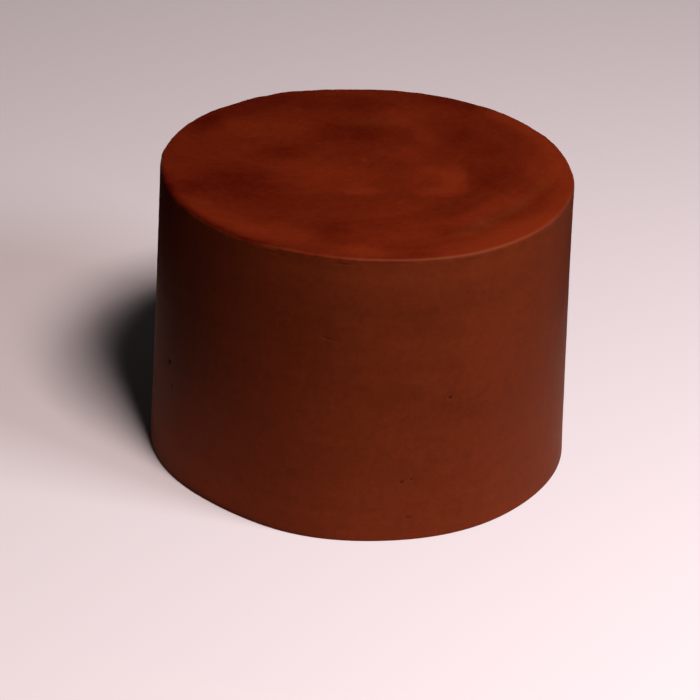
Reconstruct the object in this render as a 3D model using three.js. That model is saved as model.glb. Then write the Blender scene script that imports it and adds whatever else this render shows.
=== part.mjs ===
// A tall round chocolate chiffon cake under one smooth coat of chocolate cream.
// It is uncut, so it is one solid: a drum that narrows a little towards a crisp top edge.
// Units are millimetres. +Z is up, and the origin is the middle of the flat underside.

import * as THREE from "three";
import { mergeVertices } from "three/addons/utils/BufferGeometryUtils.js";

// Driving dimensions.
const BASE_RADIUS = 77.2;
const TOP_RADIUS = 73.9;
const HEIGHT = 108.2;

// The coat is scraped to an edge that is only just rounded.
const RIM_ROUNDING = 1.1;
// Where it meets the board, the coat draws in to a small tucked foot.
const FOOT_TUCK = 0.4;
const FOOT_HEIGHT = 0.8;
// Between foot and rim the wall is very slightly hollow, most of all low down.
const WALL_HOLLOW = 0.3;
const HOLLOW_LOWNESS = 0.3;

// One stretch of the foot, left of the front, was pressed flatter by the scraper.
const FLAT = { turn: -122, spread: 20, depth: 2 };

// Hand-smoothed unevenness of the wall: so many swells around it, each with its own depth.
const FOOT_SWELLS = [
  { count: 2, depth: 0.29, turn: -60 },
  { count: 3, depth: 0.27, turn: -7 },
  { count: 5, depth: 0.17, turn: -33 },
  { count: 7, depth: 0.32, turn: -9 },
];
const RIM_SWELLS = [
  { count: 2, depth: 0.39, turn: -70 },
  { count: 3, depth: 0.21, turn: 48 },
  { count: 5, depth: 0.09, turn: 10 },
  { count: 12, depth: 0.16, turn: -4 },
];
const RIM_HEIGHT_SWELLS = [
  { count: 2, depth: 0.13, turn: 45 },
  { count: 3, depth: 0.27, turn: 36 },
  { count: 5, depth: 0.15, turn: -22 },
];
// The share of the wall's height over which the rim's rise and fall fades out.
const RIM_FADE = 0.18;

// The spatula's last passes over the top: shallow troughs along arcs of a circle. Centre, radius
// and half width are in millimetres, and from and to are in degrees about that centre.
const TOP_STROKES = [
  { x: -33, y: 28, radius: 101, halfWidth: 6, from: -62, to: -8, depth: 0.55 },
  { x: -33, y: 28, radius: 84, halfWidth: 7, from: -55, to: -20, depth: 0.3 },
  { x: 4, y: -6, radius: 62, halfWidth: 7, from: -178, to: -138, depth: 0.4 },
  { x: 8, y: -10, radius: 52, halfWidth: 8, from: 50, to: 118, depth: 0.35 },
];
// A stroke fades in and out over this many degrees.
const STROKE_FADE = 12;
// No stroke reaches the rim: it fades from this share of the top's radius outwards.
const STROKE_REACH = 0.93;
// The middle of the top stands this much lower than its edge.
const TOP_DISH = 0.3;

// How finely the surface is divided.
const SEGMENTS = 96;
const WALL_RINGS = 16;
const RIM_RINGS = 3;
const TOP_RINGS = 12;
// Points nearer to each other than this are one point.
const SAME_PLACE = 1e-4;

const COAT_COLOUR = 0x61200a;
const COAT_ROUGHNESS = 0.6;

function smoothStep(from, to, value) {
  return THREE.MathUtils.smoothstep(value, from, to);
}

// The height of a hand-made swell pattern in a given direction.
function swell(swells, angle) {
  let sum = 0;
  for (const { count, depth, turn } of swells) {
    sum += depth * Math.cos(count * (angle - THREE.MathUtils.degToRad(turn)));
  }
  return sum;
}

// How far the wall stands out from a true cone. Rise runs from 0 at the foot to 1 at the rim.
function wallOffset(angle, rise) {
  const degrees = THREE.MathUtils.radToDeg(angle) - FLAT.turn;
  const away = THREE.MathUtils.euclideanModulo(degrees + 180, 360) - 180;
  const flat = FLAT.depth * Math.exp(-((away / FLAT.spread) ** 2));
  const foot = swell(FOOT_SWELLS, angle) - flat;
  const hollow = WALL_HOLLOW * Math.sin(Math.PI * Math.pow(rise, 1 - HOLLOW_LOWNESS));
  return THREE.MathUtils.lerp(foot, swell(RIM_SWELLS, angle), rise) - hollow;
}

// One spatula trough, deepest along its arc and fading at its sides and ends.
function strokeDepth(stroke, x, y) {
  const across = Math.hypot(x - stroke.x, y - stroke.y) - stroke.radius;
  const along = THREE.MathUtils.radToDeg(Math.atan2(y - stroke.y, x - stroke.x));
  const enters = smoothStep(stroke.from, stroke.from + STROKE_FADE, along);
  const leaves = 1 - smoothStep(stroke.to - STROKE_FADE, stroke.to, along);
  return stroke.depth * Math.exp(-((across / stroke.halfWidth) ** 2)) * enters * leaves;
}

// How far the top lies above or below a true plane.
function topOffset(x, y) {
  const out = Math.min(Math.hypot(x, y) / TOP_RADIUS, 1);
  let offset = swell(RIM_HEIGHT_SWELLS, Math.atan2(y, x)) * out ** 2 - TOP_DISH * (1 - out ** 2);
  for (const stroke of TOP_STROKES) {
    offset -= strokeDepth(stroke, x, y) * (1 - smoothStep(STROKE_REACH, 1, out));
  }
  return offset;
}

// Half of the drum's section, from the middle of the underside to the middle of the top.
function drumProfile() {
  const points = [new THREE.Vector2(0, 0), new THREE.Vector2(BASE_RADIUS - FOOT_TUCK, 0)];
  const wallTop = HEIGHT - RIM_ROUNDING;
  for (let ring = 0; ring <= WALL_RINGS; ring++) {
    const z = THREE.MathUtils.lerp(FOOT_HEIGHT, wallTop, ring / WALL_RINGS);
    points.push(new THREE.Vector2(THREE.MathUtils.lerp(BASE_RADIUS, TOP_RADIUS, z / wallTop), z));
  }
  for (let ring = 1; ring <= RIM_RINGS; ring++) {
    const turn = (ring / RIM_RINGS) * (Math.PI / 2);
    const inset = RIM_ROUNDING * (1 - Math.cos(turn));
    points.push(new THREE.Vector2(TOP_RADIUS - inset, wallTop + RIM_ROUNDING * Math.sin(turn)));
  }
  for (let ring = TOP_RINGS - 1; ring >= 0; ring--) {
    points.push(new THREE.Vector2(((TOP_RADIUS - RIM_ROUNDING) * ring) / TOP_RINGS, HEIGHT));
  }
  return points;
}

// Moves one point of the true drum to where the hand-finished coat has it.
function finishPoint(point) {
  const angle = Math.atan2(point.y, point.x);
  const rise = THREE.MathUtils.clamp(point.z / HEIGHT, 0, 1);
  const grow = 1 + wallOffset(angle, rise) / THREE.MathUtils.lerp(BASE_RADIUS, TOP_RADIUS, rise);
  point.z += topOffset(point.x, point.y) * smoothStep(1 - RIM_FADE, 1, rise);
  point.x *= grow;
  point.y *= grow;
}

function makeCoatedDrum() {
  const lathe = new THREE.LatheGeometry(drumProfile(), SEGMENTS);
  lathe.rotateX(Math.PI / 2);
  lathe.deleteAttribute("normal");
  lathe.deleteAttribute("uv");
  const geometry = mergeVertices(lathe, SAME_PLACE);
  const place = geometry.getAttribute("position");
  const point = new THREE.Vector3();
  for (let index = 0; index < place.count; index++) {
    point.fromBufferAttribute(place, index);
    finishPoint(point);
    place.setXYZ(index, point.x, point.y, point.z);
  }
  // The unevenness pulls the outline a little to one side, so it is centred again.
  geometry.computeBoundingBox();
  const middle = geometry.boundingBox.getCenter(new THREE.Vector3());
  geometry.translate(-middle.x, -middle.y, 0);
  geometry.computeVertexNormals();
  return geometry;
}

const coat = new THREE.MeshStandardMaterial({
  color: COAT_COLOUR,
  roughness: COAT_ROUGHNESS,
  metalness: 0,
});
const cake = new THREE.Mesh(makeCoatedDrum(), coat);
cake.name = "cake";

const group = new THREE.Group();
group.add(cake);

export default group;
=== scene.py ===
"""Looks of a tall round chocolate chiffon cake under one smooth coat of chocolate cream.

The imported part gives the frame. The coat is modelled around it as one finely divided closed mesh,
which stands on a plain pale floor under soft studio lights.
"""
import math
from collections import namedtuple

import bpy
import numpy as np
from bpy.props import FloatProperty, FloatVectorProperty, IntProperty, PointerProperty
from mathutils import Matrix, Vector, noise


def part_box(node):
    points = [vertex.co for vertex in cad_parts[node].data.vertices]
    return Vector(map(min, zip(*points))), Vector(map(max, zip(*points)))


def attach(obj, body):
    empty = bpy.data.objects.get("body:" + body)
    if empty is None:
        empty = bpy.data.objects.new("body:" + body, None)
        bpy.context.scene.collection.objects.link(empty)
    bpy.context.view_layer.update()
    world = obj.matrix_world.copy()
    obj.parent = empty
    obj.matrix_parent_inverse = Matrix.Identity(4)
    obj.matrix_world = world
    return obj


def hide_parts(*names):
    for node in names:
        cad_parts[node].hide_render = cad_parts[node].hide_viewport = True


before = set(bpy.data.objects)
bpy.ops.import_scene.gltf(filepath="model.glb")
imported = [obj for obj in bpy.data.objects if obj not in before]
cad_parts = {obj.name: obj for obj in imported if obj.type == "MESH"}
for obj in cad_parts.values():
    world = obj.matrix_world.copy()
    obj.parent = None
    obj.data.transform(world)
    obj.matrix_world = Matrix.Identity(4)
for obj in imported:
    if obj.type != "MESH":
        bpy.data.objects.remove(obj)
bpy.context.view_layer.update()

bl_info = {
    "name": "Chocolate Chiffon Cake",
    "version": (1, 0, 0),
    "blender": (4, 5, 0),
    "location": "View3D > Sidebar > Cake",
    "description": "Builds a coated chocolate chiffon cake and a plain studio around it",
    "category": "Add Mesh",
}

MM = 0.001
NODE = "cake"
CAKE_LOW, CAKE_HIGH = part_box(NODE)

# The drum, in metres, as the part has it.
BASE_RADIUS = 77.2 * MM
TOP_RADIUS = 73.9 * MM
HEIGHT = 108.2 * MM
# How finely its edges are rounded and its faces smoothed, and how near to a level counts as on it.
RIM_STEPS, FOOT_STEPS = 3, 2
SMOOTHING_LEVELS = 2
LEVEL_TOLERANCE = 0.01 * MM

# Unevenness is told in millimetres and degrees. A swell repeats so many times around the drum.
Swell = namedtuple("Swell", "count depth turn")
FOOT_SWELLS = (Swell(2, 0.29, -60), Swell(3, 0.27, -7), Swell(5, 0.17, -33), Swell(7, 0.32, -9))
RIM_SWELLS = (Swell(2, 0.39, -70), Swell(3, 0.21, 48), Swell(5, 0.09, 10), Swell(12, 0.16, -4))
RIM_HEIGHT_SWELLS = (Swell(2, 0.13, 45), Swell(3, 0.27, 36), Swell(5, 0.15, -22))
# The rim's rise and fall fades out over this share of the wall's height.
RIM_FADE = 0.18
# One stretch of the foot was pressed flatter, and the wall is slightly hollow, most of all low down.
FLAT_TURN, FLAT_SPREAD, FLAT_DEPTH = -122, 20, 2.0
HOLLOW_LOWNESS = 0.3
# Where the wall's relief ends, as shares: outwards over the top and underside, and up from the foot.
WALL_EDGE = (0.9, 0.985)
WALL_FOOT = (0, 0.03)

# Random relief: its height and grain size in millimetres, its octaves, and how much each axis is
# scaled before the noise is read, so that a small factor draws the pattern out.
Relief = namedtuple("Relief", "height size octaves stretch")

# A spatula trough on the top follows an arc about its own centre and fades over its last degrees.
Stroke = namedtuple("Stroke", "x y radius half_width start end depth")
TOP_STROKES = (
    Stroke(-33, 28, 101, 6, -62, -8, 0.55),
    Stroke(-33, 28, 84, 7, -55, -20, 0.3),
    Stroke(4, -6, 62, 7, -178, -138, 0.4),
    Stroke(8, -10, 52, 8, 50, 118, 0.35),
)
STROKE_FADE = 12
STROKE_REACH = 0.93
# The top's fine relief fades out over this last share of its radius.
TOP_EDGE = (0.95, 1)
# Drier, lighter bands of cream along arcs, where depth tells how light each one is.
TOP_BANDS = (
    Stroke(-33, 28, 112, 7, -66, -28, 0.6),
    Stroke(-33, 28, 103, 4, -40, -8, 0.3),
    Stroke(-33, 28, 94, 5, -58, -8, 0.3),
    Stroke(-33, 28, 89, 1.2, -54, -24, -0.25),
    Stroke(-33, 28, 83, 2.5, -52, -18, -0.2),
    Stroke(0, 0, 71, 4.5, -50, 58, 0.75),
    Stroke(0, 0, 73.5, 2, -178, -108, -0.8),
)

# A smear on the top: its middle, its half length and half width, its turn, how light or dark it
# is, and how far along its length it ends in a sharp edge, where the spatula was lifted.
Smear = namedtuple("Smear", "x y long wide turn tone stop", defaults=(99,))
TOP_SMEARS_AND_HIGHLIGHT = (
    Smear(25, -6, 14, 13, 0, 0.4, 11),
    Smear(31, -6, 6, 10, 0, 0.5, 5),
    Smear(23, -17, 10, 3.5, 12, 0.4),
    Smear(22, 2, 5, 4, 0, 0.35),
    Smear(-3, -20, 6, 2.5, 0, 0.5),
    Smear(-2, 6, 1.2, 1.8, 0, 0.6),
    Smear(-14, -8, 21, 13, -18, 0.42),
    Smear(13, 14, 9, 7, 0, 0.35),
    Smear(13, 49, 10, 11, 0, 0.34),
    Smear(19, 31, 4, 12, 18, 0.35),
    Smear(-37, 31, 17, 10, 5, 0.3),
    Smear(-46, 12, 7, 9, 0, 0.15),
    Smear(63, 10, 6, 16, 0, 0.35),
    Smear(42, -28, 15, 4, 42, 0.2),
    Smear(10, -34, 14, 7, 25, 0.25),
    Smear(14, -52, 14, 9, 20, 0.4),
    Smear(43, -53, 21, 9, 38, 0.4),
    # Painted highlight: this smear lightens the top just inside the front rim, where the light catches it.
    Smear(1, -68, 10, 5, 0, 0.8),
    Smear(-28, -57, 14, 7, -22, 0.5),
    Smear(-48, -46, 17, 6, -42, 0.45),
    Smear(31, -46, 12, 3, 8, -0.32),
    Smear(48, -35, 8, 2, 42, -0.2),
    Smear(-10, -53, 6, 8, 0, -0.35),
    Smear(47, -4, 12, 12, 0, -0.3),
    Smear(32, 32, 6, 13, 0, -0.3),
    Smear(43, 22, 6, 12, 20, -0.15),
    Smear(-7, 32, 14, 12, 8, -0.45),
    Smear(-31, 11, 11, 7, 20, -0.35),
    Smear(-46, -16, 16, 13, -10, -0.5),
    Smear(-63, -22, 8, 7, -30, -0.4),
    Smear(-33, -32, 14, 9, 0, -0.2),
    Smear(-58, 34, 6, 9, -30, -0.5),
    Smear(-45, 53, 24, 8, 42, -0.5),
    Smear(-12, 57, 24, 9, 0, -0.3),
    Smear(32, 62, 14, 6, -22, -0.4),
)
SMEAR_EDGE = 0.6
# Above 1, a smear has a flatter middle and a clearer edge than a plain soft spot.
SMEAR_FLATNESS = 1.5
# No smear is a true oval: its outline wanders by this much, over this distance.
SMEAR_WANDER = Relief(2.5, 14, 3, (1, 1, 1))

# A mark in the wall: its direction, its height, and how far it runs along, up and in.
Mark = namedtuple("Mark", "turn z along up depth slope")
WALL_MARKS = (
    Mark(-98.2, 78.2, 2.7, 0.35, 0.18, -0.16),
    Mark(-65.2, 54.8, 0.7, 0.6, 0.35, 0),
    Mark(-77.4, 23.4, 0.8, 0.6, 0.3, 0.1),
    Mark(-74.8, 24.4, 0.6, 0.5, 0.25, 0),
    Mark(-75.2, 9.2, 1.2, 0.4, 0.25, 0),
    Mark(-153.5, 44.6, 1.0, 1.0, 0.5, 0),
    Mark(-151.2, 36.2, 0.8, 0.8, 0.35, 0),
    Mark(-94.5, 106.0, 4.4, 0.45, 0.12, 0.02),
    Mark(-60.5, 105.9, 3.0, 0.4, 0.08, -0.03),
    Mark(-114.5, 106.0, 2.2, 0.4, 0.1, 0.03),
)
# The faces are divided more finely as far as this around a mark, and this much farther out.
MARK_REACH = 2.6
MARK_MARGIN = 1
MARK_CUTS = 2
# Faint clouds on the wall, where depth tells how dark, or if negative how light, each one is. Most are the
# cream's own tone; those marked below are painted shade and painted light.
WALL_CLOUDS_AND_PAINTED_SHADING = (
    Mark(-63, 48, 16, 4.5, 0.16, 0),
    Mark(-82, 57, 16, 4.5, 0.13, 0),
    Mark(-72, 24, 9, 3, 0.14, 0),
    Mark(-100, 27, 9, 6, 0.1, 0),
    Mark(-72, 87, 10, 5, 0.12, 0),
    Mark(-94, 90, 9, 3, 0.12, 0),
    # Painted shade: these two darken the wall's shaded left side.
    Mark(-142, 80, 9, 18, 0.2, 0),
    Mark(-150, 55, 26, 28, 0.55, 0),
    # Painted shade: darkens the wall's right edge, where it turns away from the light.
    Mark(-8, 80, 24, 36, 0.5, 0),
    # Painted light: lightens the foot of the left side, standing in for light thrown up from the floor.
    Mark(-150, 9, 30, 7, -0.3, 0),
    Mark(-86, 101, 55, 5, -0.35, 0),
    Mark(-105, 62, 4.5, 3.5, -0.22, 0),
    Mark(-88, 81, 6, 2, -0.15, 0),
    Mark(-57, 74, 16, 10, -0.1, 0),
    # Painted shade: a dark line along the left foot, standing in for the contact shadow where the coat meets
    # the floor.
    Mark(-136, 0.3, 36, 1.1, 1.1, 0),
)

WALL_RELIEF = (
    Relief(0.16, 34, 2, (1, 1, 0.6)),
    Relief(0.04, 5.5, 3, (0.12, 0.12, 1)),
    Relief(0.03, 3.2, 2, (1, 1, 1)),
)
TOP_RELIEF = (Relief(0.12, 21, 2, (1, 1, 1)), Relief(0.03, 2.6, 2, (1, 1, 1)))
# The ridges are read in millimetres across the spatula's arcs and radians along them.
ARC_RELIEF = Relief(0.06, 3.4, 3, (1, 14, 1))
SMEAR_RELIEF = 0.06
# The scraped rim is not quite even: small nicks and swellings run along it, this far in.
RIM_RELIEF = Relief(0.2, 8, 3, (1, 1, 1))
RIM_RELIEF_WIDTH = 2.2
# A narrow painted highlight runs along the front of the rim in a few stretches, where the light catches the
# rounded edge.
RimHighlight = namedtuple("RimHighlight", "turn spread share")
RIM_HIGHLIGHTS = (RimHighlight(-60, 26, 0.8), RimHighlight(-90, 8, 0.4), RimHighlight(-111, 6, 0.35))
HIGHLIGHT_INSET, HIGHLIGHT_WIDTH = 0.4, 0.6
# How far below the rim the look of the wall turns into that of the top: its tone and its colour.
TONE_TURN = (0.7, 0.2)
COLOUR_TURN = (1.0, 0.5)

# A noise pattern in the coat: its share in the mottling or the grain, its grain size in
# millimetres, its detail, roughness and distortion.
Pattern = namedtuple("Pattern", "share size detail roughness distortion", defaults=(0.0,))
CLOUDS = Pattern(0.5, 24, 3.0, 0.55)
PATCHES = Pattern(0.9, 7, 4.0, 0.6, 0.4)
BANDS = Pattern(0.7, 5, 4.0, 0.6)
STREAKS = Pattern(0.8, 4.5, 4.0, 0.6, 0.6)
FLECKS = Pattern(1.1, 2.4, 3.0, 0.65)
FINE_FLECKS = Pattern(0.7, 0.9, 2.0, 0.6)
GRAIN = Pattern(1.0, 3.2, 3.0, 0.55)
FINE_GRAIN = Pattern(0.5, 0.9, 2.0, 0.5)
# Streaks and bands also stand out from the surface, as shares of the grain's height.
STREAK_HEIGHT, BAND_HEIGHT = 0.6, 0.4
# The scraper draws its bands out along the wall, and streaks have so many grains in a radian.
BAND_SQUEEZE = 0.08
STREAK_TURN = 14
# Painted shade darkens pits and tears over this range of their depth, and patches vary the roughness by this.
HOLLOW_SHADE_RANGE = (0.08, 0.5)
PATCH_ROUGHNESS = 0.16

# A soft panel of light: its distance as a share of the light distance, its turn and height in
# degrees, its width and depth in metres, and its colour.
Panel = namedtuple("Panel", "share turn height width depth colour")
KEY_PANEL = Panel(1.3, -61, 59, 0.36, 0.32, (1, 1, 1))
SIDE_PANEL = Panel(1.0, -27, 34, 0.34, 0.3, (0.93, 1.08, 1.2))
BACK_STRIP = Panel(1.0, 95, 1.1, 0.7, 0.03, (1.0, 0.96, 0.92))
EDGE_STRIP = Panel(1.0, 35, 1.1, 0.5, 0.03, (0.65, 1.0, 1.15))
SURROUND_COLOUR = (0.92, 0.95, 1.0)
# The floor and the card are matt, and the card lies just above the floor.
PALE_ROUGHNESS, PALE_GLOSS = 0.7, 0.2
FLOOR_SIZE = 8
CARD_CORNERS = 96
CARD_LIFT = 0.02 * MM
CAMERA_TARGET = Vector((-3.7 * MM, 0, 34.0 * MM))
CAMERA_TURN = -90
SENSOR_WIDTH = 36


def smooth_step(start, end, value):
    share = np.clip((value - start) / (end - start), 0, 1)
    return share * share * (3 - 2 * share)


def bell(*shares):
    """A smooth hill, 1 where every share is 0, that falls off as they grow."""
    return np.exp(-sum(share**2 for share in shares))


def swell(swells, angle):
    """How far a pattern of swells stands out in each direction, in millimetres."""
    return sum(s.depth * np.cos(s.count * (angle - math.radians(s.turn))) for s in swells)


def degrees_from(angle, turn):
    """How many degrees each angle lies away from a turn, from -180 to 180."""
    return (np.degrees(angle) - turn + 180) % 360 - 180


def wall_offset(angle, rise, hollow):
    """How far the wall stands out from a true cone. Rise runs from 0 at the foot to 1 at the rim."""
    flat = FLAT_DEPTH * bell(degrees_from(angle, FLAT_TURN) / FLAT_SPREAD)
    foot = swell(FOOT_SWELLS, angle) - flat
    dip = hollow * np.sin(math.pi * rise ** (1 - HOLLOW_LOWNESS))
    return foot + (swell(RIM_SWELLS, angle) - foot) * rise - dip


def stroke_depth(stroke, x, y):
    """One spatula trough, deepest along its arc."""
    across = np.hypot(x - stroke.x, y - stroke.y) - stroke.radius
    along = np.degrees(np.arctan2(y - stroke.y, x - stroke.x))
    enters = smooth_step(stroke.start, stroke.start + STROKE_FADE, along)
    leaves = 1 - smooth_step(stroke.end - STROKE_FADE, stroke.end, along)
    return stroke.depth * bell(across / stroke.half_width) * enters * leaves


def strokes_depth(strokes, x, y):
    return sum(stroke_depth(stroke, x, y) for stroke in strokes)


def top_offset(x, y, dish):
    """How far the top lies above or below a true plane."""
    out = np.minimum(np.hypot(x, y) * MM / TOP_RADIUS, 1)
    offset = swell(RIM_HEIGHT_SWELLS, np.arctan2(y, x)) * out**2 - dish * (1 - out**2)
    return offset - strokes_depth(TOP_STROKES, x, y) * (1 - smooth_step(STROKE_REACH, 1, out))


def smear_tone(smear, x, y):
    """How light one smear makes each point of the top."""
    turn = math.radians(smear.turn)
    along = (x - smear.x) * math.cos(turn) + (y - smear.y) * math.sin(turn)
    across = (y - smear.y) * math.cos(turn) - (x - smear.x) * math.sin(turn)
    ends = 1 - smooth_step(smear.stop - SMEAR_EDGE, smear.stop + SMEAR_EDGE, along)
    out = (along / smear.long) ** 2 + (across / smear.wide) ** 2
    return smear.tone * np.exp(-(out**SMEAR_FLATNESS)) * ends


def mark_share(mark, x, y, z):
    """How much of a mark's full depth each point has, from 0 to 1."""
    radius = BASE_RADIUS / MM + (TOP_RADIUS - BASE_RADIUS) / HEIGHT * z
    along = np.radians(degrees_from(np.arctan2(y, x), mark.turn)) * radius
    return bell(along / mark.along, (z - mark.z - mark.slope * along) / mark.up)


def relief_at(relief, points):
    """The height of a random relief at each point, in millimetres."""
    scaled = points * relief.stretch / relief.size
    return relief.height * np.array([noise.fractal(p, 1.0, 2.0, relief.octaves) for p in scaled])


# ---------------------------------------------------------------------------------------------
# Modelling


def select_none():
    if bpy.context.object and bpy.context.object.mode != "OBJECT":
        bpy.ops.object.mode_set(mode="OBJECT")
    bpy.ops.object.select_all(action="DESELECT")


def select_where(piece, kind, test):
    """In edit mode, selects just the edges or faces that pass a test."""
    bpy.ops.mesh.select_mode(type={"edges": "EDGE", "polygons": "FACE"}[kind])
    bpy.ops.mesh.select_all(action="DESELECT")
    bpy.ops.object.mode_set(mode="OBJECT")
    for item in getattr(piece.data, kind):
        item.select = test(item)
    bpy.ops.object.mode_set(mode="EDIT")


def add_drum(sizes):
    """A tapered drum of quads with a bevelled rim and foot and ringed ends."""
    select_none()
    bpy.ops.mesh.primitive_cylinder_add(
        vertices=sizes.segments,
        radius=BASE_RADIUS,
        depth=HEIGHT,
        end_fill_type="NGON",
        location=(0, 0, HEIGHT / 2),
    )
    drum = bpy.context.object
    bpy.ops.object.transform_apply(location=True, rotation=True, scale=True)
    bpy.ops.object.mode_set(mode="EDIT")

    def at_level(z, level):
        return abs(z - level) < LEVEL_TOLERANCE

    def level_edge(edge, level):
        return all(at_level(drum.data.vertices[v].co.z, level) for v in edge.vertices)

    select_where(drum, "polygons", lambda face: at_level(face.center.z, HEIGHT))
    taper = TOP_RADIUS / BASE_RADIUS
    bpy.ops.transform.resize(value=(taper, taper, 1), center_override=(0, 0, HEIGHT))
    select_where(drum, "edges", lambda edge: not level_edge(edge, 0) and not level_edge(edge, HEIGHT))
    bpy.ops.mesh.subdivide(number_cuts=sizes.wall_rings - 1)

    ends = (
        (HEIGHT, TOP_RADIUS, sizes.rim_rounding, RIM_STEPS, sizes.top_rings),
        (0, BASE_RADIUS, sizes.foot_tuck, FOOT_STEPS, sizes.base_rings),
    )
    for level, radius, rounding, steps, rings in ends:
        select_where(drum, "edges", lambda edge: level_edge(edge, level))
        bpy.ops.mesh.bevel(offset=rounding, segments=steps, profile=0.5, affect="EDGES")
        select_where(drum, "polygons", lambda face: at_level(face.center.z, level) and len(face.vertices) > 4)
        for _ in range(rings - 1):
            bpy.ops.mesh.inset(thickness=(radius - rounding) / rings)
        bpy.ops.mesh.poke()
    bpy.ops.object.mode_set(mode="OBJECT")

    smoothing = drum.modifiers.new("Smoothing", "SUBSURF")
    smoothing.levels = smoothing.render_levels = SMOOTHING_LEVELS
    bpy.ops.object.modifier_apply(modifier=smoothing.name)
    return drum


def refine_marks(drum):
    """Divides the faces around each mark again, so that small pits keep their shape."""
    centres = np.array([face.center for face in drum.data.polygons]) / MM
    wanted = np.zeros(len(centres), bool)
    for mark in WALL_MARKS:
        wide = mark._replace(along=mark.along + MARK_MARGIN, up=mark.up + MARK_MARGIN)
        wanted |= mark_share(wide, *centres.T) > math.exp(-MARK_REACH)
    bpy.ops.object.mode_set(mode="EDIT")
    select_where(drum, "polygons", lambda face: bool(wanted[face.index]))
    bpy.ops.mesh.subdivide(number_cuts=MARK_CUTS, smoothness=0)
    bpy.ops.object.mode_set(mode="OBJECT")


def finish_coat(drum, sizes):
    """Moves every point of the true drum to where the hand-smoothed coat has it."""
    mesh = drum.data
    points = np.empty(len(mesh.vertices) * 3)
    mesh.vertices.foreach_get("co", points)
    points = points.reshape(-1, 3) / MM
    x, y, z = points.T.copy()
    angle = np.arctan2(y, x)
    rise = np.clip(z * MM / HEIGHT, 0, 1)
    cone = (BASE_RADIUS + (TOP_RADIUS - BASE_RADIUS) * rise) / MM
    out = np.hypot(x, y) / cone
    at_wall = smooth_step(*WALL_EDGE, out)
    at_top = smooth_step(1 - RIM_FADE, 1, rise)

    marks = [mark.depth * mark_share(mark, x, y, z) * at_wall for mark in WALL_MARKS]
    # The hollow attribute carries each mark's depth to the material, which paints shade into the pits and
    # tears.
    hollow = np.max(marks, 0) / max(mark.depth for mark in WALL_MARKS)
    relief = sum(relief_at(kind, points) for kind in WALL_RELIEF) * smooth_step(*WALL_FOOT, rise)
    inward = np.hypot(x, y) - TOP_RADIUS / MM
    nicks = relief_at(RIM_RELIEF, points) * bell(np.hypot(inward, z - HEIGHT / MM) / RIM_RELIEF_WIDTH)
    relief = relief * at_wall + nicks - sum(marks)
    grow = 1 + (wall_offset(angle, rise, sizes.wall_hollow) + relief) / cone

    # Fine ridges on the top follow the spatula's arcs.
    arc = TOP_STROKES[0]
    reach = np.hypot(x - arc.x, y - arc.y)
    sweep = np.arctan2(y - arc.y, x - arc.x)
    wander = [relief_at(SMEAR_WANDER, points + offset) for offset in (0, points.max())]
    smears_and_highlight = sum(smear_tone(smear, x + wander[0], y + wander[1]) for smear in TOP_SMEARS_AND_HIGHLIGHT)
    bands = strokes_depth(TOP_BANDS, x, y)
    rough = sum(relief_at(kind, points) for kind in TOP_RELIEF)
    rough += relief_at(ARC_RELIEF, np.stack([reach, sweep, 0 * x], 1))
    rough += SMEAR_RELIEF * (smears_and_highlight + bands)
    lift = top_offset(x, y, sizes.top_dish) + rough * (1 - smooth_step(*TOP_EDGE, out)) + nicks

    # The tone is above 0 where the cream is drier and lighter, and below it where it is pressed. On the wall
    # it also carries painted shade and painted bounce light, and on the top a painted highlight inside the
    # front rim.
    on_top = smooth_step(*(HEIGHT / MM - depth for depth in TONE_TURN), z)
    # Besides the cream's own clouds, this carries painted shade on the left side, at the right edge and along
    # the left foot, and painted bounce light low on the left.
    clouds = sum(cloud.depth * mark_share(cloud, x, y, z) for cloud in WALL_CLOUDS_AND_PAINTED_SHADING)
    tone = on_top * (smears_and_highlight + bands) - (1 - on_top) * clouds
    edge = np.hypot(inward + HIGHLIGHT_INSET, z - HEIGHT / MM) / HIGHLIGHT_WIDTH
    # Painted highlight: a lighter line along the front of the rim, where the key light catches it.
    worn = sum(w.share * bell(edge, degrees_from(angle, w.turn) / w.spread) for w in RIM_HIGHLIGHTS)

    points[:, 0] = x * grow
    points[:, 1] = y * grow
    points[:, 2] = z + lift * at_top
    middle = (points.max(0) + points.min(0)) / 2
    place = (CAKE_LOW + CAKE_HIGH) / 2 / MM
    points[:, 0] += place.x - middle[0]
    points[:, 1] += place.y - middle[1]
    mesh.vertices.foreach_set("co", (points * MM).ravel())
    mesh.update()

    for name, values in (("hollow", hollow), ("tone", tone), ("worn", worn)):
        attribute = mesh.attributes.new(name, "FLOAT", "POINT")
        attribute.data.foreach_set("value", values)


def check_closed(piece):
    """Stops the script if the piece's surface has a hole or a loose face."""
    select_none()
    bpy.context.view_layer.objects.active = piece
    bpy.ops.object.mode_set(mode="EDIT")
    bpy.ops.mesh.select_mode(type="EDGE")
    bpy.ops.mesh.select_all(action="DESELECT")
    bpy.ops.mesh.select_non_manifold()
    bpy.ops.object.mode_set(mode="OBJECT")
    open_edges = sum(edge.select for edge in piece.data.edges)
    if open_edges:
        raise RuntimeError(f"{piece.name} has {open_edges} open edges")


# ---------------------------------------------------------------------------------------------
# Materials


class Wire:
    """One shader socket, so that shader maths reads as a plain expression."""

    def __init__(self, shader, socket):
        self.shader = shader
        self.socket = socket

    def math(self, operation, other=0.0, swapped=False):
        values = (other, self) if swapped else (self, other)
        return self.shader.node("ShaderNodeMath", {"operation": operation}, dict(enumerate(values)))

    def __add__(self, other):
        return self.math("ADD", other)

    def __sub__(self, other):
        return self.math("SUBTRACT", other)

    def __rsub__(self, other):
        return self.math("SUBTRACT", other, swapped=True)

    def __mul__(self, other):
        return self.math("MULTIPLY", other)

    def __truediv__(self, other):
        return self.math("DIVIDE", other)

    def __pow__(self, other):
        return self.math("POWER", other)

    __radd__ = __add__
    __rmul__ = __mul__


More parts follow.
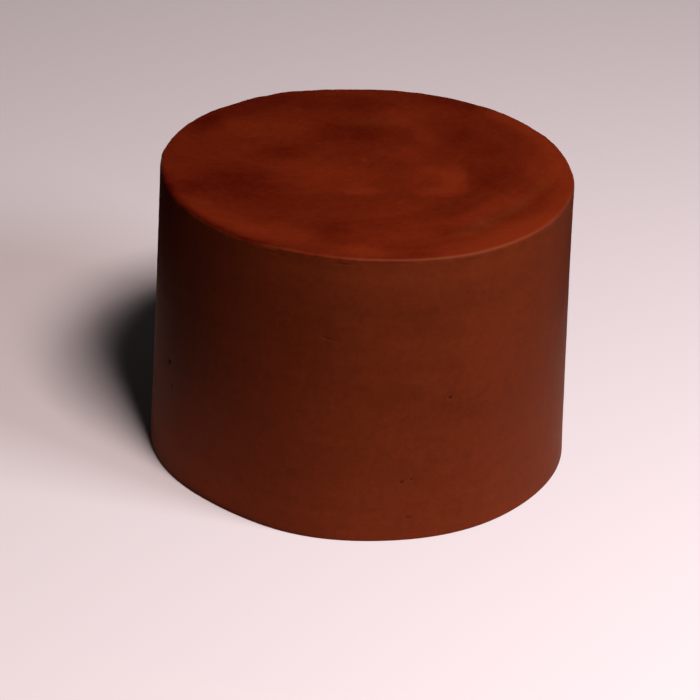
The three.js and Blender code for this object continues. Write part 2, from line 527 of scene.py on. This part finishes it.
class Shader:
    """A new material and the nodes that are added to it."""

    def __init__(self, name):
        self.material = bpy.data.materials.new(name)
        self.material.use_nodes = True
        self.tree = self.material.node_tree
        self.tree.nodes.clear()

    def node(self, kind, settings, sockets, output=0):
        """Adds a node, makes its settings, then fills its sockets, by name or by index."""
        added = self.tree.nodes.new(kind)
        for name, value in settings.items():
            setattr(added, name, value)
        for key, value in sockets.items():
            if isinstance(value, Wire):
                self.tree.links.new(value.socket, added.inputs[key])
            else:
                added.inputs[key].default_value = value
        return Wire(self, added.outputs[output]) if added.outputs else None

    def step(self, value, start, end):
        """A smooth step from 0 at start to 1 at end."""
        return self.node(
            "ShaderNodeMapRange",
            {"interpolation_type": "SMOOTHSTEP"},
            {"Value": value, "From Min": start, "From Max": end},
        )

    def noise(self, place, pattern):
        """Noise around 0 in one pattern."""
        sockets = {
            "Vector": place,
            "Scale": 1 / pattern.size,
            "Detail": pattern.detail,
            "Roughness": pattern.roughness,
            "Distortion": pattern.distortion,
        }
        return self.node("ShaderNodeTexNoise", {}, sockets) - 0.5

    def mix(self, share, first, second):
        """Mixes two colours."""
        return self.node("ShaderNodeMix", {"data_type": "RGBA"}, {0: share, 6: first, 7: second}, output=2)

    def attribute(self, name):
        return self.node("ShaderNodeAttribute", {"attribute_name": name}, {}, output=2)

    def principled(self, sockets):
        """Ends the material in one Principled surface."""
        surface = self.node("ShaderNodeBsdfPrincipled", {}, sockets)
        self.node("ShaderNodeOutputMaterial", {}, {"Surface": surface})
        return self.material


def opaque(colour):
    return (*colour, 1.0)


def coat_material(look):
    """Chocolate cream: mottled by the spatula, faintly banded, with a fine dry grain, a painted sheen on its
    wall, painted shade in its pits and a painted highlight along its rim.
    """
    shader = Shader("Chocolate coat")
    metres = shader.node("ShaderNodeTexCoord", {}, {}, output="Object")
    place = shader.node("ShaderNodeVectorMath", {"operation": "SCALE"}, {0: metres, "Scale": 1 / MM})
    split = {axis: shader.node("ShaderNodeSeparateXYZ", {}, {0: place}, output=axis) for axis in "XYZ"}
    x, y, z = split.values()

    def combine(x, y, z):
        return shader.node("ShaderNodeCombineXYZ", {}, {0: x, 1: y, 2: z})

    on_top = shader.step(z, *(HEIGHT / MM - depth for depth in COLOUR_TURN))

    # Soft clouds where the cream was worked more or less.
    clouds = shader.noise(place, CLOUDS)
    patches = shader.noise(place, PATCHES)

    # Level scraper bands on the wall, and streaks on the top along the spatula's arcs.
    bands = shader.noise(combine(x * BAND_SQUEEZE, y * BAND_SQUEEZE, z), BANDS) * (1 - on_top)
    dx, dy = x - TOP_STROKES[0].x, y - TOP_STROKES[0].y
    reach = (dx * dx + dy * dy) ** 0.5
    sweep = dy.math("ARCTAN2", dx)
    streaks = shader.noise(combine(reach, sweep * STREAK_TURN, 0.0), STREAKS) * on_top

    flecks = shader.noise(place, FLECKS) + shader.noise(place, FINE_FLECKS) * FINE_FLECKS.share
    mottle = clouds * CLOUDS.share + patches * PATCHES.share + bands * BANDS.share
    mottle = mottle + streaks * STREAKS.share + flecks * FLECKS.share
    share = (mottle * look.mottle + shader.attribute("tone") * look.contrast) * 0.5 + 0.5
    # Painted sheen: the wall takes a lighter, greyer pair of colours than the top, standing in for the
    # greyish light the wall catches from the floor.
    side = shader.mix(share, opaque(look.side_dark), opaque(look.side_light))
    top = shader.mix(share, opaque(look.top_dark), opaque(look.top_light))
    colour = shader.mix(on_top, side, top)
    # Painted highlight along the front of the rim.
    colour = shader.mix(shader.attribute("worn"), colour, opaque(look.rim_highlight_colour))
    # Painted shade: pits and tears are darkened in colour, standing in for the shade inside them.
    hollow = shader.step(shader.attribute("hollow"), *HOLLOW_SHADE_RANGE)
    colour = shader.mix(hollow * look.hollow_shade, colour, opaque(look.pit_shade_colour))

    grain = shader.noise(place, FINE_GRAIN) * FINE_GRAIN.share + shader.noise(place, GRAIN) * GRAIN.share
    height = grain + streaks * STREAK_HEIGHT + bands * BAND_HEIGHT
    bump = {"Strength": look.grain_strength, "Distance": look.grain_depth, "Height": height}
    return shader.principled(
        {
            "Base Color": colour,
            "Roughness": patches * PATCH_ROUGHNESS + look.roughness,
            "Specular IOR Level": look.gloss,
            "Normal": shader.node("ShaderNodeBump", {}, bump),
        }
    )


# ---------------------------------------------------------------------------------------------
# Settings


class CakeSizes(bpy.types.PropertyGroup):
    """Sizes of the coat's edges, and how finely it is divided"""

    rim_rounding: FloatProperty(
        name="Rim Rounding", description="Radius of the top edge", default=1.1 * MM, unit="LENGTH"
    )
    foot_tuck: FloatProperty(
        name="Foot Tuck",
        description="How far the coat draws in at the floor",
        default=0.4 * MM,
        unit="LENGTH",
    )
    wall_hollow: FloatProperty(
        name="Wall Hollow", description="Dip of the wall between foot and rim, in millimetres", default=0.3
    )
    top_dish: FloatProperty(
        name="Top Dish", description="Dip of the top's middle, in millimetres", default=0.3
    )
    segments: IntProperty(name="Segments", description="Divisions around the drum", default=120)
    wall_rings: IntProperty(name="Wall Rings", description="Divisions up the wall", default=24)
    top_rings: IntProperty(name="Top Rings", description="Divisions across the top", default=15)
    base_rings: IntProperty(name="Base Rings", description="Divisions of the underside", default=2)


class CoatLook(bpy.types.PropertyGroup):
    """Colours and finish of the chocolate cream, with its painted sheen, shade and highlight"""

    # Painted sheen: the wall's pair is lighter and greyer than the top's, standing in for the greyish light
    # the wall catches from the floor. Within each pair, light and dark are the cream's own tone.
    side_light: FloatVectorProperty(
        name="Light Side",
        description="Wall, where the cream is drier",
        subtype="COLOR",
        default=(0.190, 0.0264, 0.0061),
    )
    side_dark: FloatVectorProperty(
        name="Dark Side",
        description="Wall, where the cream is pressed",
        subtype="COLOR",
        default=(0.056, 0.0064, 0.0014),
    )
    top_light: FloatVectorProperty(
        name="Light Top",
        description="Top, where the cream is drier",
        subtype="COLOR",
        default=(0.171, 0.0168, 0.0035),
    )
    top_dark: FloatVectorProperty(
        name="Dark Top",
        description="Top, where the cream is pressed",
        subtype="COLOR",
        default=(0.050, 0.0013, 0.0002),
    )
    # Painted highlight: the colour of the lighter line along the front of the rim.
    rim_highlight_colour: FloatVectorProperty(
        name="Painted Highlight", description="Worn line along the rim", subtype="COLOR", default=(0.165, 0.037, 0.012)
    )
    # Painted shade: the colour laid into pits and tears stands in for the shade inside them.
    pit_shade_colour: FloatVectorProperty(
        name="Hollow", description="Inside pits and tears", subtype="COLOR", default=(0.03, 0.003, 0.001)
    )
    hollow_shade: FloatProperty(
        name="Hollow Shade", description="How dark pits and tears are", default=0.7, subtype="FACTOR"
    )
    mottle: FloatProperty(
        name="Mottle", description="Strength of the random clouds", default=0.6, subtype="FACTOR"
    )
    contrast: FloatProperty(
        name="Contrast", description="Strength of the spatula's smears", default=1.0, subtype="FACTOR"
    )
    roughness: FloatProperty(
        name="Roughness", description="Mean roughness", default=0.56, subtype="FACTOR"
    )
    gloss: FloatProperty(
        name="Gloss", description="Strength of the shine", default=0.04, subtype="FACTOR"
    )
    grain_strength: FloatProperty(
        name="Grain", description="Strength of the grain", default=0.35, subtype="FACTOR"
    )
    grain_depth: FloatProperty(
        name="Grain Depth", description="Height of the grain", default=0.15 * MM, unit="LENGTH"
    )


class StudioSetup(bpy.types.PropertyGroup):
    """Floor, lights and camera"""

    floor_colour: FloatVectorProperty(
        name="Floor", description="Colour of the floor", subtype="COLOR", default=(0.90, 0.71, 0.70)
    )
    key_power: FloatProperty(
        name="Key Power", description="Power of the high front light", default=13.6, unit="POWER"
    )
    side_power: FloatProperty(
        name="Side Power", description="Power of the lower light on the right", default=5.2, unit="POWER"
    )
    back_power: FloatProperty(
        name="Back Power", description="Power of the low strip behind the cake", default=2.0, unit="POWER"
    )
    edge_power: FloatProperty(
        name="Edge Power", description="Power of the low cool strip on the right", default=0.9, unit="POWER"
    )
    light_distance: FloatProperty(
        name="Light Distance", description="From the foot to the side light", default=1.0, unit="LENGTH"
    )
    card_radius: FloatProperty(
        name="Card Radius",
        description="Reach of the floor that throws light back at the wall",
        default=0.17,
        unit="LENGTH",
    )
    card_colour: FloatVectorProperty(
        name="Card", description="Colour of the card", subtype="COLOR", default=(0.90, 0.72, 0.62)
    )
    fill: FloatProperty(
        name="Fill", description="Strength of the light from all around", default=0.003
    )
    camera_distance: FloatProperty(
        name="Camera Distance", description="From the foot to the camera", default=0.9542, unit="LENGTH"
    )
    camera_height: FloatProperty(
        name="Camera Height",
        description="The camera's angle above the floor",
        default=math.radians(30.22),
        subtype="ANGLE",
    )
    camera_roll: FloatProperty(
        name="Camera Roll", description="The camera's tilt", default=math.radians(2.48), subtype="ANGLE"
    )
    camera_lens: FloatProperty(name="Lens", description="Focal length in millimetres", default=130.5)


# ---------------------------------------------------------------------------------------------
# Operators


class CAKE_OT_coated_cake(bpy.types.Operator):
    """Model the coated cake and put it in place of the plain solid"""

    bl_idname = "cake.coated_cake"
    bl_label = "Coated Cake"

    def execute(self, context):
        sizes = context.scene.cake_sizes
        drum = add_drum(sizes)
        drum.name = drum.data.name = "coated_cake"
        refine_marks(drum)
        finish_coat(drum, sizes)
        check_closed(drum)
        drum.data.materials.append(coat_material(context.scene.coat_look))
        drum.select_set(True)
        bpy.ops.object.shade_smooth()
        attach(drum, "root")
        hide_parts(NODE)
        return {"FINISHED"}


def around(distance, turn, height):
    """A place at a distance from the origin, in a direction around and above it."""
    flat = distance * math.cos(height)
    return Vector((flat * math.cos(turn), flat * math.sin(turn), distance * math.sin(height)))


def aim(thing, target, roll=0.0):
    """Turns a camera or a light, whose sight runs along -Z, to face a point."""
    turn = (target - thing.location).to_track_quat("-Z", "Y").to_matrix().to_4x4()
    thing.matrix_world = Matrix.Translation(thing.location) @ turn @ Matrix.Rotation(roll, 4, "Z")


def add_soft_light(name, panel, distance, power):
    """A soft panel that faces the cake's middle."""
    place = around(panel.share * distance, math.radians(panel.turn), math.radians(panel.height))
    bpy.ops.object.light_add(type="AREA", location=place)
    light = bpy.context.object
    light.name = name
    light.data.shape = "RECTANGLE"
    light.data.size = panel.width
    light.data.size_y = panel.depth
    light.data.energy = power
    light.data.color = panel.colour
    light.visible_camera = False
    aim(light, Vector((0, 0, HEIGHT / 2)))


class CAKE_OT_studio(bpy.types.Operator):
    """Add the pale floor, the soft lights and the camera"""

    bl_idname = "cake.studio"
    bl_label = "Studio"

    def execute(self, context):
        studio = context.scene.studio_setup
        select_none()
        bpy.ops.mesh.primitive_plane_add(size=FLOOR_SIZE, location=(0, 0, 0))
        floor = context.object
        floor.name = "floor"
        # Light comes back to the wall from a round card alone, so that its upper part stays deep.
        floor.visible_diffuse = floor.visible_glossy = False
        bpy.ops.mesh.primitive_circle_add(
            vertices=CARD_CORNERS,
            radius=studio.card_radius,
            fill_type="NGON",
            location=(0, 0, CARD_LIFT),
        )
        card = context.object
        card.name = "bounce_card"
        card.visible_camera = card.visible_shadow = False
        surface = {"Roughness": PALE_ROUGHNESS, "Specular IOR Level": PALE_GLOSS}
        for part, colour in ((floor, studio.floor_colour), (card, studio.card_colour)):
            pale = Shader("Pale " + part.name).principled({"Base Color": opaque(colour), **surface})
            part.data.materials.append(pale)

        distance = studio.light_distance
        add_soft_light("key_light", KEY_PANEL, distance, studio.key_power)
        add_soft_light("side_light", SIDE_PANEL, distance, studio.side_power)
        # Two strips stand lower than the top, so they light the back and the right edge alone.
        add_soft_light("back_light", BACK_STRIP, distance, studio.back_power)
        add_soft_light("edge_light", EDGE_STRIP, distance, studio.edge_power)
        world = bpy.data.worlds.new("soft_surround")
        world.use_nodes = True
        background = world.node_tree.nodes["Background"]
        background.inputs["Color"].default_value = opaque(SURROUND_COLOUR)
        background.inputs["Strength"].default_value = studio.fill
        context.scene.world = world

        bpy.ops.object.camera_add(
            location=around(studio.camera_distance, math.radians(CAMERA_TURN), studio.camera_height)
        )
        camera = context.object
        camera.name = "camera"
        camera.data.lens = studio.camera_lens
        camera.data.sensor_width = SENSOR_WIDTH
        aim(camera, CAMERA_TARGET, studio.camera_roll)
        context.scene.camera = camera
        context.scene.view_settings.view_transform = "Standard"
        return {"FINISHED"}


class CAKE_PT_sidebar(bpy.types.Panel):
    """Lists the cake's operators and settings"""

    bl_idname = "CAKE_PT_sidebar"
    bl_label = "Chocolate Cake"
    bl_space_type = "VIEW_3D"
    bl_region_type = "UI"
    bl_category = "Cake"

    def draw(self, context):
        for operator in OPERATORS:
            self.layout.operator(operator.bl_idname)
        for group in (context.scene.cake_sizes, context.scene.coat_look, context.scene.studio_setup):
            column = self.layout.column(align=True)
            for name in group.__annotations__:
                column.prop(group, name)


OPERATORS = (CAKE_OT_studio, CAKE_OT_coated_cake)
CLASSES = (CakeSizes, CoatLook, StudioSetup, *OPERATORS, CAKE_PT_sidebar)


def register():
    for cls in CLASSES:
        bpy.utils.register_class(cls)
    bpy.types.Scene.cake_sizes = PointerProperty(type=CakeSizes)
    bpy.types.Scene.coat_look = PointerProperty(type=CoatLook)
    bpy.types.Scene.studio_setup = PointerProperty(type=StudioSetup)


def unregister():
    del bpy.types.Scene.studio_setup
    del bpy.types.Scene.coat_look
    del bpy.types.Scene.cake_sizes
    for cls in reversed(CLASSES):
        bpy.utils.unregister_class(cls)


def main():
    register()
    bpy.ops.cake.studio()
    bpy.ops.cake.coated_cake()


if __name__ == "__main__":
    main()
